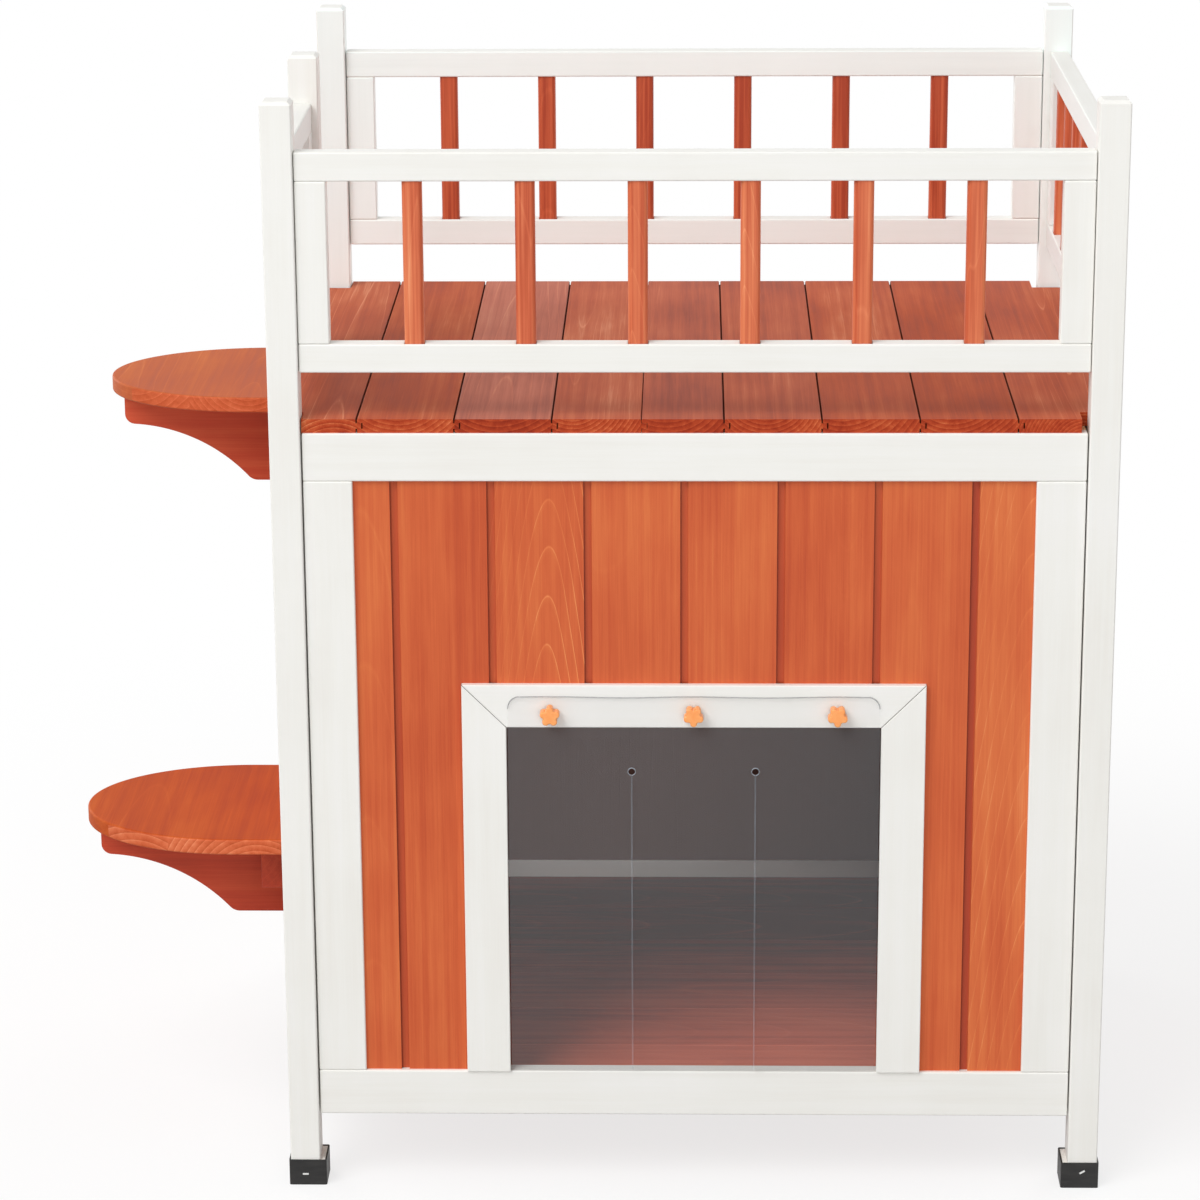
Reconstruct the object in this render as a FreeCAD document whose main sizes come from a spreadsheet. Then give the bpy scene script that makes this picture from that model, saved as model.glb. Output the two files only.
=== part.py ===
import FreeCAD, Part
import math
import os
import Sketcher

# Outdoor cat house: a boarded room on four posts, a railed balcony on its roof and two steps at its left.
# Millimetres. The front faces -Y, left is -X, and the origin is on the ground under the outline's middle.

doc = FreeCAD.newDocument("cat_house")
dim = doc.addObject("Spreadsheet::Sheet", "dim")

# Driving dimensions
dimensions = {
    # House and posts
    "house_width": "600",  # over the corner posts
    "house_depth": "460",
    "post_side": "22",
    "post_rise": "226",  # above the deck
    "post_chamfer": "2.5",  # round the top of each post
    "middle_post_at": "202",  # from the front of the house to the front of the middle post
    "edge_round": "1.2",  # on planed posts, rails and stiles
    # Foot caps
    "foot_height": "20",
    "foot_floor": "2",
    "foot_lip": "1.2",  # wall of the cap, beyond the post's outer faces
    "foot_inner": "4.8",  # cap beyond the post's inner faces
    "foot_round": "1.5",
    "shim_drop": "0.6",  # shim below the cap's rim
    "staple_length": "4.4",
    "staple_wire": "1.3",
    "staple_proud": "0.6",
    "staple_height": "9",  # above the ground, on the left foot
    "staple_lift": "4",  # of the right foot's staple above the left one
    "staple_slant": "31",  # degrees, up to the right, on the right foot
    # Walls
    "panel_bottom": "56",  # above the ground
    "panel_top": "578",
    "panel_recess": "3",  # behind the outer faces of the posts
    "panel_gap": "1",  # between a wall and its posts
    "frame_thick": "12",
    "frame_rail": "35",  # height of a wall's rails
    "frame_stile": "35",
    "board_recess": "3",  # behind the outer face of the frame
    "board_cover": "68.8",  # from one board to the next
    "ripped_board": "26",  # first board of the front and back walls
    "groove_width": "5.8",
    "groove_depth": "2.5",
    # Doorway
    "door_width": "270",  # between the legs of the trim
    "door_height": "360",  # from the ground to the lower edge of the trim's head
    "door_reveal": "4",  # boards cut back behind the trim
    "trim_width": "32",
    "trim_thick": "5",
    "trim_round": "0.8",
    # Flap
    "flap_width": "268",
    "flap_lap": "24",  # top edge above the lower edge of the head
    "flap_clear": "3",  # bottom edge above the wall's bottom rail
    "flap_thick": "2",
    "flap_corner": "9",
    "flap_hinge": "33",  # from the head's lower edge down to the relief holes, where the strips bend
    "hinge_gap": "0.3",
    "slit_width": "0.6",
    "relief_radius": "2.75",
    # Thumb knobs
    "knob_height": "11",  # above the lower edge of the head
    "knob_pitch": "103.3",
    "knob_thick": "8",
    "knob_hub": "5.2",
    "knob_lobe": "2.5",
    "knob_lobe_ring": "4.8",
    "knob_round": "1",
    "knob_gap": "0.3",  # behind the knob
    "knob_bore": "6",  # depth
    "bolt_radius": "2",
    "bolt_play": "0.05",
    "bolt_tip_gap": "0.5",
    "bolt_head_radius": "4",
    "bolt_head_thick": "2",
    "bolt_hole_play": "0.2",
    # Floor
    "floor_top": "76",
    "floor_thick": "9",
    "floor_cover": "71.7",  # from one board to the next
    "floor_round": "0.6",
    "floor_batten_width": "20",
    "floor_post_gap": "1",
    # Deck
    "deck_thick": "10",
    "deck_set": "2",  # front edge behind the face of the front wall
    "deck_width": "596",
    "deck_shift": "2.3",  # to the left of the middle
    "deck_board": "69",
    "deck_edge_board": "62.5",
    "deck_fourth_board": "63",
    "deck_fifth_board": "58.5",
    "deck_joint": "1",  # open between two boards
    "deck_close_joint": "0.4",  # between the fourth and the fifth
    "deck_arris": "0.6",  # eased off a board's long upper edges
    "deck_notch": "3",  # cut wider than the post on each side
    "tongue_length": "4",
    "tongue_thick": "4",
    "tongue_play": "0.3",
    "deck_batten": "18",
    # Railings
    "railing_low": "34",  # from the deck up to the lower rail
    "railing_high": "170",  # from the deck up to the upper rail
    "railing_rail": "20.5",
    "railing_stile": "22",
    "railing_thick": "14",
    "railing_recess": "3",
    "railing_gap": "0.5",
    "baluster_width": "14",
    "baluster_thick": "11",
    "baluster_round": "3.5",
    "baluster_pitch": "78.4",
    "side_baluster_pitch": "62.6",
    "left_baluster_pitch": "50",
    "socket_depth": "8",
    "socket_play": "0.4",
    # Jump steps
    "lower_step_top": "261",
    "lower_step_at": "118.5",  # from the front of the house to the middle of the step
    "upper_step_top": "543",
    "upper_step_at": "127",  # from the back of the house to the middle of the step
    "step_width": "169",
    "step_straight": "40",  # from the posts' outer face to where the end rounds off
    "step_nose": "118",
    "step_thick": "12",
    "step_round": "1.5",
    "bracket_setback": "9",  # behind the tip of the step
    "bracket_thick": "12",
    "bracket_drop": "74.5",
    "bracket_nose": "28.5",
    "bracket_cove": "130",
    "nose_round": "8",
    "heel_round": "10",
    "cleat_thick": "29",
    "cleat_height": "39",
    "cleat_length": "100",
    "cleat_notch": "5",  # bracket cut wider than the cleat
}
for row, (alias, size) in enumerate(dimensions.items(), start=1):
    dim.set(f"A{row}", alias)
    dim.set(f"B{row}", size)
    dim.setAlias(f"B{row}", alias)
doc.recompute()

# Places shared by several pieces, measured from the house's middle line and the front faces of its posts
HALF = "dim.house_width / 2"
DEPTH = "dim.house_depth"
POST = "dim.post_side"
BOARD_FACE = "(dim.panel_recess + dim.board_recess)"
FRAME_BACK = "(dim.panel_recess + dim.frame_thick)"
BOARD_BOTTOM = "(dim.panel_bottom + dim.frame_rail)"
BOARD_HEIGHT = "(dim.panel_top - dim.panel_bottom - 2 * dim.frame_rail)"
DECK_TOP = "(dim.panel_top + dim.deck_thick)"
FLAP_BACK = f"({BOARD_FACE} - dim.trim_thick)"
FLAP_FRONT = f"({FLAP_BACK} - dim.flap_thick)"
KNOB_BACK = f"({FLAP_FRONT} - dim.knob_gap)"

# The house's middle line and front, placed so that the whole outline is centred on the origin
MIDDLE_X = "(dim.step_straight + dim.step_nose - dim.foot_lip) / 2"
FRONT_Y = f"(dim.knob_thick - {KNOB_BACK} - {DEPTH} - dim.foot_lip) / 2"

nodes = []


def value(formula):
    """The number that a formula of the sheet gives."""
    return float(dim.evalExpression(formula))


def place(piece, x, y, z):
    """Ties a piece's corner to a place on the house."""
    piece.setExpression("Placement.Base.x", f"{MIDDLE_X} + {x}")
    piece.setExpression("Placement.Base.y", f"{FRONT_Y} + {y}")
    piece.setExpression("Placement.Base.z", f"{z}")


def new_body(label):
    body = doc.addObject("PartDesign::Body", label)
    body.Label = label
    return body


def block(body, name, kind, size, corner=("0", "0", "0")):
    """Adds a block to a body, or takes one away from it."""
    piece = body.newObject(f"PartDesign::{kind}Box", f"{body.Label}_{name}")
    for side, formula in zip(("Length", "Width", "Height"), size):
        piece.setExpression(side, formula)
    for axis, formula in zip("xyz", corner):
        piece.setExpression(f"Placement.Base.{axis}", formula)
    return piece


ALONG_X = FreeCAD.Rotation(FreeCAD.Vector(0, 1, 0), 90)
ALONG_Y = FreeCAD.Rotation(FreeCAD.Vector(1, 0, 0), -90)
OUT_OF_FRONT = FreeCAD.Rotation(FreeCAD.Vector(1, 0, 0), 90)
UPRIGHT = FreeCAD.Rotation()
LOBE_UP = FreeCAD.Rotation(FreeCAD.Vector(0, 0, 1), 90)
LOBE_DOWN = FreeCAD.Rotation(FreeCAD.Vector(0, 0, 1), -90)


def drum(body, name, kind, radius, length, start=("0", "0", "0"), turn=UPRIGHT):
    """Adds a cylinder to a body, or takes one away from it."""
    piece = body.newObject(f"PartDesign::{kind}Cylinder", f"{body.Label}_{name}")
    piece.setExpression("Radius", radius)
    piece.setExpression("Height", length)
    piece.Placement = FreeCAD.Placement(FreeCAD.Vector(), turn)
    for axis, formula in zip("xyz", start):
        piece.setExpression(f"Placement.Base.{axis}", formula)
    return piece


def soften(body, kind, size, chosen=lambda edge: True):
    """Rounds or chamfers the chosen edges of the body so far."""
    doc.recompute()
    base = body.Tip
    names = [f"Edge{count}" for count, edge in enumerate(base.Shape.Edges, start=1) if chosen(edge)]
    feature = body.newObject(f"PartDesign::{kind}", f"{body.Label}_{kind}")
    feature.Base = (base, names)
    feature.setExpression("Radius" if kind == "Fillet" else "Size", size)
    body.Tip = feature
    return feature


def runs_along(edge, axis):
    """Whether an edge is straight and parallel to X, Y or Z."""
    box = edge.BoundBox
    spans = {"x": box.XLength, "y": box.YLength, "z": box.ZLength}
    return all(span < 1e-6 for name, span in spans.items() if name != axis) and spans[axis] > 1e-6


def level(edge, height):
    return abs(edge.BoundBox.ZMin - height) < 1e-6 and abs(edge.BoundBox.ZMax - height) < 1e-6


def timber(label, size, corner, rounding="dim.edge_round"):
    """A planed piece of timber with every edge eased."""
    body = new_body(label)
    block(body, "bar", "Additive", size)
    soften(body, "Fillet", rounding)
    place(body, *corner)
    return body


def plate(label, points, thickness):
    """A flat piece with a straight-sided outline in X and Z, thick towards the front."""
    body = new_body(label)
    sketch = body.newObject("Sketcher::SketchObject", f"{label}_outline")
    upright = [plane for plane in body.Origin.OriginFeatures if plane.Role == "XZ_Plane"][0]
    sketch.AttachmentSupport = [(upright, "")]
    sketch.MapMode = "FlatFace"
    corners = [FreeCAD.Vector(value(x), value(z), 0) for x, z in points]
    for start, end in zip(corners, corners[1:] + corners[:1]):
        sketch.addGeometry(Part.LineSegment(start, end), False)
    for side, (x, z) in enumerate(points):
        sketch.addConstraint(Sketcher.Constraint("Coincident", side, 2, (side + 1) % len(points), 1))
        for kind, formula, axis in (("DistanceX", x, -2), ("DistanceY", z, -1)):
            if formula == "0":
                sketch.addConstraint(Sketcher.Constraint("PointOnObject", side, 1, axis))
                continue
            number = sketch.addConstraint(Sketcher.Constraint(kind, -1, 1, side, 1, value(formula)))
            sketch.setExpression(f"Constraints[{number}]", formula)
    pad = body.newObject("PartDesign::Pad", f"{label}_pad")
    pad.Profile = sketch
    pad.setExpression("Length", thickness)
    sketch.Visibility = False
    return body


def keep(piece):
    """Lists a piece as a sub-part of its own."""
    nodes.append(piece)
    return piece


def group(label, pieces):
    """Lists like pieces as one sub-part."""
    compound = doc.addObject("Part::Compound", label)
    compound.Label = label
    compound.Links = pieces
    return keep(compound)


# Posts: four at the corners, standing in their foot caps, and one in the left railing, on the left wall
left = f"-{HALF}"
right = f"{HALF} - {POST}"
back = f"{DEPTH} - {POST}"
corners = {
    "front_left": (left, "0"),
    "front_right": (right, "0"),
    "back_left": (left, back),
    "back_right": (right, back),
}


def post(label, x, y, z):
    length = f"{DECK_TOP} + dim.post_rise - {z}"
    body = new_body(label)
    block(body, "bar", "Additive", (POST, POST, length))
    soften(body, "Chamfer", "dim.post_chamfer", lambda edge: level(edge, value(length)))
    soften(body, "Fillet", "dim.edge_round", lambda edge: runs_along(edge, "z"))
    place(body, x, y, z)
    keep(body)


for name, (x, y) in corners.items():
    post(f"post_{name}", x, y, "dim.foot_floor")
post("post_middle_left", left, "dim.middle_post_at", "dim.panel_top")

# Foot caps: open boxes wider than the post on its inner sides, where a bent shim packs it out
CAP = f"({POST} + dim.foot_lip + dim.foot_inner)"
CAVITY = f"({CAP} - 2 * dim.foot_lip)"
SHIM = f"({CAVITY} - {POST})"
CAVITY_HEIGHT = "(dim.foot_height - dim.foot_floor)"
shims = []
for name, (x, y) in corners.items():
    cap_x = f"-{HALF} - dim.foot_lip" if "left" in name else f"{HALF} + dim.foot_lip - {CAP}"
    cap_y = "-dim.foot_lip" if "front" in name else f"{DEPTH} + dim.foot_lip - {CAP}"
    cap = new_body(f"foot_{name}")
    block(cap, "block", "Additive", (CAP, CAP, "dim.foot_height"))
    soften(cap, "Fillet", "dim.foot_round", lambda edge: runs_along(edge, "z"))
    hollow = (CAVITY, CAVITY, CAVITY_HEIGHT)
    block(cap, "cavity", "Subtractive", hollow, ("dim.foot_lip", "dim.foot_lip", "dim.foot_floor"))
    place(cap, cap_x, cap_y, "0")
    keep(cap)

    shim_height = f"({CAVITY_HEIGHT} - dim.shim_drop)"
    side_x = POST if "left" in name else "0"
    bar_x = "0" if "left" in name else SHIM
    bar_y = POST if "front" in name else "0"
    shim = new_body(f"shim_{name}")
    block(shim, "side", "Additive", (SHIM, CAVITY, shim_height), (side_x, "0", "0"))
    block(shim, "bar", "Additive", (POST, SHIM, shim_height), (bar_x, bar_y, "0"))
    place(shim, f"{cap_x} + dim.foot_lip", f"{cap_y} + dim.foot_lip", "dim.foot_floor")
    shims.append(shim)
group("foot_shims", shims)

# Staples: one in the front of each front cap, the right one driven higher and at a slant
staples = []
staple_rows = {
    "left": (f"-{HALF}", "dim.staple_height", "0"),
    "right": (f"{HALF} - {POST}", "dim.staple_height + dim.staple_lift", "dim.staple_slant"),
}
for name, (post_side, height, slant) in staple_rows.items():
    staple = new_body(f"staple_{name}")
    crown = ("dim.staple_length", "dim.staple_proud", "dim.staple_wire")
    block(staple, "crown", "Additive", crown, ("-dim.staple_length / 2", "0", "-dim.staple_wire / 2"))
    place(staple, f"{post_side} + {POST} / 2", "-dim.foot_lip - dim.staple_proud", height)
    staple.setExpression("Placement.Rotation.Axis.y", "-1")
    staple.setExpression("Placement.Rotation.Axis.z", "0")
    staple.setExpression("Placement.Rotation.Angle", slant)
    staples.append(staple)
group("foot_staples", staples)


def on_wall(wall, along, length, inward, thick):
    """Corner and size in X and Y of a piece on one side of the house, set in from the posts' outer faces."""
    if wall == "front":
        return (along, inward), (length, thick)
    if wall == "back":
        return (along, f"{DEPTH} - {inward} - {thick}"), (length, thick)
    if wall == "left":
        return (f"-{HALF} + {inward}", along), (thick, length)
    return (f"{HALF} - {inward} - {thick}", along), (thick, length)


# Where each wall starts and how far it runs between its posts
ACROSS = (f"(-{HALF} + {POST})", f"(dim.house_width - 2 * {POST})")
ALONG = (POST, f"({DEPTH} - 2 * {POST})")
spans = {"front": ACROSS, "back": ACROSS, "left": ALONG, "right": ALONG}


def board_rows(total, first, cover):
    """Start and width of each board of a row: one of its own width, then full ones and what is left."""
    full = math.ceil((value(total) - value(first)) / value(cover) - 1e-6) - 1
    rows = [("0", first)]
    for count in range(full):
        rows.append((f"({first} + {count} * {cover})", cover))
    rows.append((f"({first} + {full} * {cover})", f"({total} - {first} - {full} * {cover})"))
    return rows


def wall_frame_piece(wall, label, along, length, low, height):
    corner, size = on_wall(wall, along, length, "dim.panel_recess", "dim.frame_thick")
    return timber(f"{wall}_{label}", (*size, height), (*corner, low))


def wall_board(wall, label, along, width, grooved):
    """One upright board, with a shallow rebate down its first edge where it meets the board before."""
    thick = "(dim.frame_thick - dim.board_recess)"
    corner, size = on_wall(wall, along, width, BOARD_FACE, thick)
    body = new_body(label)
    block(body, "bar", "Additive", (*size, BOARD_HEIGHT))
    if grooved:
        far = f"{thick} - dim.groove_depth"
        cut = {
            "front": (("dim.groove_width", "dim.groove_depth"), ("0", "0")),
            "back": (("dim.groove_width", "dim.groove_depth"), ("0", far)),
            "left": (("dim.groove_depth", "dim.groove_width"), ("0", "0")),
            "right": (("dim.groove_depth", "dim.groove_width"), (far, "0")),
        }
        cut_size, cut_corner = cut[wall]
        block(body, "rebate", "Subtractive", (*cut_size, BOARD_HEIGHT), (*cut_corner, "0"))
    place(body, *corner, BOARD_BOTTOM)
    return body


DOOR_HALF = "(dim.door_width / 2 + dim.door_reveal)"
DOOR_CUT = f"(dim.door_height + dim.door_reveal - {BOARD_BOTTOM})"


def wall(name):
    """A wall: two rails, two stiles between them and the boards that fill the frame."""
    start, span = spans[name]
    first_end = f"({start} + dim.panel_gap)"
    clear = f"({span} - 2 * dim.panel_gap)"
    rails = {"top_rail": "dim.panel_top - dim.frame_rail", "bottom_rail": "dim.panel_bottom"}
    for label, low in rails.items():
        keep(wall_frame_piece(name, label, first_end, clear, low, "dim.frame_rail"))

    second_end = f"({first_end} + {clear} - dim.frame_stile)"
    stiles = []
    for label, along in (("first_stile", first_end), ("second_stile", second_end)):
        stiles.append(wall_frame_piece(name, label, along, "dim.frame_stile", BOARD_BOTTOM, BOARD_HEIGHT))
    group(f"{name}_stiles", stiles)

    opening = f"({first_end} + dim.frame_stile)"
    total = f"({clear} - 2 * dim.frame_stile)"
    first = "dim.ripped_board" if name in ("front", "back") else "dim.board_cover"
    boards = []
    for count, (offset, width) in enumerate(board_rows(total, first, "dim.board_cover")):
        along = f"({opening} + {offset})"
        board = wall_board(name, f"{name}_board_{count}", along, width, count > 0)
        beside_door = value(along) >= value(DOOR_HALF) or value(f"{along} + {width}") <= -value(DOOR_HALF)
        if name == "front" and not beside_door:
            cut = (f"2 * {DOOR_HALF}", "dim.frame_thick", DOOR_CUT)
            block(board, "doorway", "Subtractive", cut, (f"-{DOOR_HALF} - {along}", "0", "0"))
        boards.append(board)
    group(f"{name}_boards", boards)


for name in spans:
    wall(name)

# Door trim: a head and two legs round the doorway, mitred at the upper corners and planted on the boards
TRIM_HALF = "(dim.door_width / 2 + dim.trim_width)"
LEG_HEIGHT = f"(dim.door_height + dim.trim_width - {BOARD_BOTTOM})"
MITRE = f"({LEG_HEIGHT} - dim.trim_width)"
knob_places = {"left": "-dim.knob_pitch", "middle": "0", "right": "dim.knob_pitch"}


def trim_piece(label, points, x, z):
    body = plate(label, points, "dim.trim_thick")
    front = -dim.trim_thick
    soften(body, "Fillet", "dim.trim_round", lambda edge: abs(edge.BoundBox.YMax - front) < 1e-6)
    place(body, x, BOARD_FACE, z)
    return keep(body)


head_length = f"2 * {TRIM_HALF}"
head_points = [
    ("dim.trim_width", "0"),
    (f"{head_length} - dim.trim_width", "0"),
    (head_length, "dim.trim_width"),
    ("0", "dim.trim_width"),
]
head = trim_piece("door_trim_head", head_points, f"-{TRIM_HALF}", "dim.door_height")
for name, offset in knob_places.items():
    bolt_line = f"{TRIM_HALF} + {offset}"
    hole = (bolt_line, "0", "dim.knob_height")
    shank_hole = "dim.bolt_radius + dim.bolt_hole_play"
    head_hole = "dim.bolt_head_radius + dim.bolt_hole_play"
    drum(head, f"hole_{name}", "Subtractive", shank_hole, "dim.trim_thick", hole, OUT_OF_FRONT)
    drum(head, f"seat_{name}", "Subtractive", head_hole, "dim.bolt_head_thick", hole, OUT_OF_FRONT)

left_leg = [("0", "0"), ("dim.trim_width", "0"), ("dim.trim_width", MITRE), ("0", LEG_HEIGHT)]
right_leg = [("0", "0"), ("dim.trim_width", "0"), ("dim.trim_width", LEG_HEIGHT), ("0", MITRE)]
trim_piece("door_trim_left", left_leg, f"-{TRIM_HALF}", BOARD_BOTTOM)
trim_piece("door_trim_right", right_leg, "dim.door_width / 2", BOARD_BOTTOM)

# Flap: a clear sheet clamped in front of the trim's head, whose three strips swing below the relief holes
FLAP_HALF = "(dim.flap_width / 2)"
SLIT = "(dim.flap_width / 6)"
HINGE_REACH = "(dim.flap_thick / 2 + dim.hinge_gap)"
HINGE_LEVEL = "(dim.door_height - dim.flap_hinge)"
KNOB_LEVEL = "(dim.door_height + dim.knob_height)"
FLAP_BOTTOM = f"({BOARD_BOTTOM} + dim.flap_clear)"
header_bottom = f"({HINGE_LEVEL} + {HINGE_REACH})"
header_height = f"(dim.door_height + dim.flap_lap - {header_bottom})"

header = new_body("flap_header")
block(header, "sheet", "Additive", ("dim.flap_width", "dim.flap_thick", header_height))
top_of_header = value(header_height)
soften(header, "Fillet", "dim.flap_corner", lambda edge: runs_along(edge, "y") and level(edge, top_of_header))
for name, offset in knob_places.items():
    hole = (f"{FLAP_HALF} + {offset}", "0", f"{KNOB_LEVEL} - {header_bottom}")
    hole_radius = "dim.bolt_radius + dim.bolt_hole_play"
    drum(header, f"hole_{name}", "Subtractive", hole_radius, "dim.flap_thick", hole, ALONG_Y)
for name, sign in (("left", "-"), ("right", "+")):
    hole = (f"{FLAP_HALF} {sign} {SLIT}", "0", f"-{HINGE_REACH}")
    drum(header, f"relief_{name}", "Subtractive", "dim.relief_radius", "dim.flap_thick", hole, ALONG_Y)
place(header, f"-{FLAP_HALF}", FLAP_FRONT, header_bottom)
keep(header)

strip_edges = {
    "left": (f"-{FLAP_HALF}", f"(-{SLIT} - dim.slit_width / 2)"),
    "middle": (f"(-{SLIT} + dim.slit_width / 2)", f"({SLIT} - dim.slit_width / 2)"),
    "right": (f"({SLIT} + dim.slit_width / 2)", FLAP_HALF),
}
for name, (first_edge, second_edge) in strip_edges.items():
    width = f"({second_edge} - ({first_edge}))"
    drop = f"({HINGE_LEVEL} - {FLAP_BOTTOM})"
    strip = new_body(f"flap_strip_{name}")
    block(strip, "sheet", "Additive", (width, "dim.flap_thick", drop))
    rolled = ("0", "dim.flap_thick / 2", drop)
    drum(strip, "rolled_top", "Additive", "dim.flap_thick / 2", width, rolled, ALONG_X)
    for slit in (f"-{SLIT}", SLIT):
        if name == "middle" or slit.startswith("-") == (name == "left"):
            hole = (f"{slit} - ({first_edge})", "0", drop)
            side = "left" if slit.startswith("-") else "right"
            drum(strip, f"relief_{side}", "Subtractive", "dim.relief_radius", "dim.flap_thick", hole, ALONG_Y)
    place(strip, first_edge, FLAP_FRONT, FLAP_BOTTOM)
    keep(strip)

# Thumb knobs: five round lobes on a hub, each turning on a bolt that passes through the trim and the flap
bolts = []
for name, offset in knob_places.items():
    knob = new_body(f"knob_{name}")
    drum(knob, "hub", "Additive", "dim.knob_hub", "dim.knob_thick")
    lobe = drum(knob, "lobe", "Additive", "dim.knob_lobe", "dim.knob_thick", ("dim.knob_lobe_ring", "0", "0"))
    doc.recompute()
    lobes = knob.newObject("PartDesign::PolarPattern", f"{knob.Label}_lobes")
    lobes.Originals = [lobe]
    lobes.Axis = ([axis for axis in knob.Origin.OriginFeatures if axis.Role == "Z_Axis"][0], [""])
    lobes.Angle = 360
    lobes.Occurrences = 5
    knob.Tip = lobes
    knob_front = value("dim.knob_thick")
    soften(knob, "Fillet", "dim.knob_round", lambda edge: level(edge, knob_front))
    drum(knob, "bore", "Subtractive", "dim.bolt_radius + dim.bolt_play", "dim.knob_bore")
    lobe_turn = LOBE_UP if name == "left" else LOBE_DOWN
    knob.Placement = FreeCAD.Placement(FreeCAD.Vector(), OUT_OF_FRONT.multiply(lobe_turn))
    place(knob, offset, KNOB_BACK, KNOB_LEVEL)
    keep(knob)

    bolt = new_body(f"bolt_{name}")
    drum(bolt, "head", "Additive", "dim.bolt_head_radius", "dim.bolt_head_thick")
    bolt_length = f"{BOARD_FACE} - {KNOB_BACK} + dim.knob_bore - dim.bolt_tip_gap"
    drum(bolt, "shank", "Additive", "dim.bolt_radius", bolt_length)
    bolt.Placement = FreeCAD.Placement(FreeCAD.Vector(), OUT_OF_FRONT)
    place(bolt, offset, BOARD_FACE, KNOB_LEVEL)
    bolts.append(bolt)
group("knob_bolts", bolts)

# Floor: boards from side to side on three battens that stand against the wall frames
FLOOR_HALF = f"({HALF} - {POST} - dim.floor_post_gap)"
ROOM_HALF = f"({HALF} - {FRAME_BACK})"
FLOOR_BOTTOM = "(dim.floor_top - dim.floor_thick)"
floor_boards = []
floor_rows = board_rows(f"({DEPTH} - 2 * {FRAME_BACK})", "dim.floor_cover", "dim.floor_cover")
for count, (offset, width) in enumerate(floor_rows):
    size = (f"2 * {FLOOR_HALF}", width, "dim.floor_thick")
    corner = (f"-{FLOOR_HALF}", f"{FRAME_BACK} + {offset}", FLOOR_BOTTOM)
    floor_boards.append(timber(f"floor_board_{count}", size, corner, "dim.floor_round"))
group("floor_boards", floor_boards)

floor_battens = []
clear_of_posts = f"({POST} + dim.floor_post_gap)"
batten_rows = {
    "left": (f"-{ROOM_HALF}", clear_of_posts),
    "middle": ("-dim.floor_batten_width / 2", FRAME_BACK),
    "right": (f"{ROOM_HALF} - dim.floor_batten_width", clear_of_posts),
}
for name, (x, y) in batten_rows.items():
    size = ("dim.floor_batten_width", f"{DEPTH} - 2 * {y}", f"{FLOOR_BOTTOM} - dim.panel_bottom")
    floor_battens.append(timber(f"floor_batten_{name}", size, (x, y, "dim.panel_bottom")))
group("floor_battens", floor_battens)

# Deck: tongue-and-groove boards from front to back, eased along their joints and notched round the posts
DECK_LEFT = "(-dim.deck_width / 2 - dim.deck_shift)"
DECK_FRONT = "(dim.panel_recess + dim.deck_set)"
DECK_LENGTH = f"({DEPTH} - {DECK_FRONT})"
deck_widths = ["dim.deck_edge_board"] + 2 * ["dim.deck_board"]
deck_widths += ["dim.deck_fourth_board", "dim.deck_fifth_board"] + 3 * ["dim.deck_board"]
deck_widths.append(f"(dim.deck_width - {' - '.join(deck_widths)})")
notch = f"({POST} + 2 * dim.deck_notch)"
notches = []
for x, y in [*corners.values(), (left, "dim.middle_post_at")]:
    notches.append((f"({x} - dim.deck_notch - dim.deck_shift)", f"({y} - dim.deck_notch)"))
tongue_low = "(dim.deck_thick - dim.tongue_thick) / 2"
board_top = value("dim.deck_thick")

deck_boards = []
for count, width in enumerate(deck_widths):
    start = " + ".join([DECK_LEFT] + deck_widths[:count])
    last = count == len(deck_widths) - 1
    joint = "dim.deck_close_joint" if width == "dim.deck_fourth_board" else "dim.deck_joint"
    body_width = width if last else f"({width} - {joint})"
    board = new_body(f"deck_board_{count}")
    block(board, "bar", "Additive", (body_width, DECK_LENGTH, "dim.deck_thick"))
    soften(board, "Chamfer", "dim.deck_arris", lambda edge: runs_along(edge, "y") and level(edge, board_top))
    if not last:
        tongue = ("dim.tongue_length", DECK_LENGTH, "dim.tongue_thick")
        block(board, "tongue", "Additive", tongue, (body_width, "0", tongue_low))
    if count > 0:
        groove_low = f"{tongue_low} - dim.tongue_play / 2"
        groove = ("dim.tongue_length", DECK_LENGTH, "dim.tongue_thick + dim.tongue_play")
        block(board, "groove", "Subtractive", groove, ("0", "0", groove_low))
    for place_of, (x, y) in enumerate(notches):
        meets = value(start) < value(f"{x} + {notch}") and value(f"{start} + {width}") > value(x)
        if meets:
            corner = (f"{x} - ({start})", f"{y} - {DECK_FRONT}", "0")
            block(board, f"notch_{place_of}", "Subtractive", (notch, notch, "dim.deck_thick"), corner)
    place(board, start, DECK_FRONT, "dim.panel_top")
    deck_boards.append(board)
group("deck_boards", deck_boards)

deck_battens = []
batten_rows = {
    "front": (FLOOR_HALF, FRAME_BACK),
    "middle": (ROOM_HALF, f"({DEPTH} - dim.deck_batten) / 2"),
    "back": (FLOOR_HALF, f"{DEPTH} - {FRAME_BACK} - dim.deck_batten"),
}
for name, (half, y) in batten_rows.items():
    size = (f"2 * {half}", "dim.deck_batten", "dim.deck_batten")
    corner = (f"-{half}", y, "dim.panel_top - dim.deck_batten")
    deck_battens.append(timber(f"deck_batten_{name}", size, corner))
group("deck_battens", deck_battens)


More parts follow.
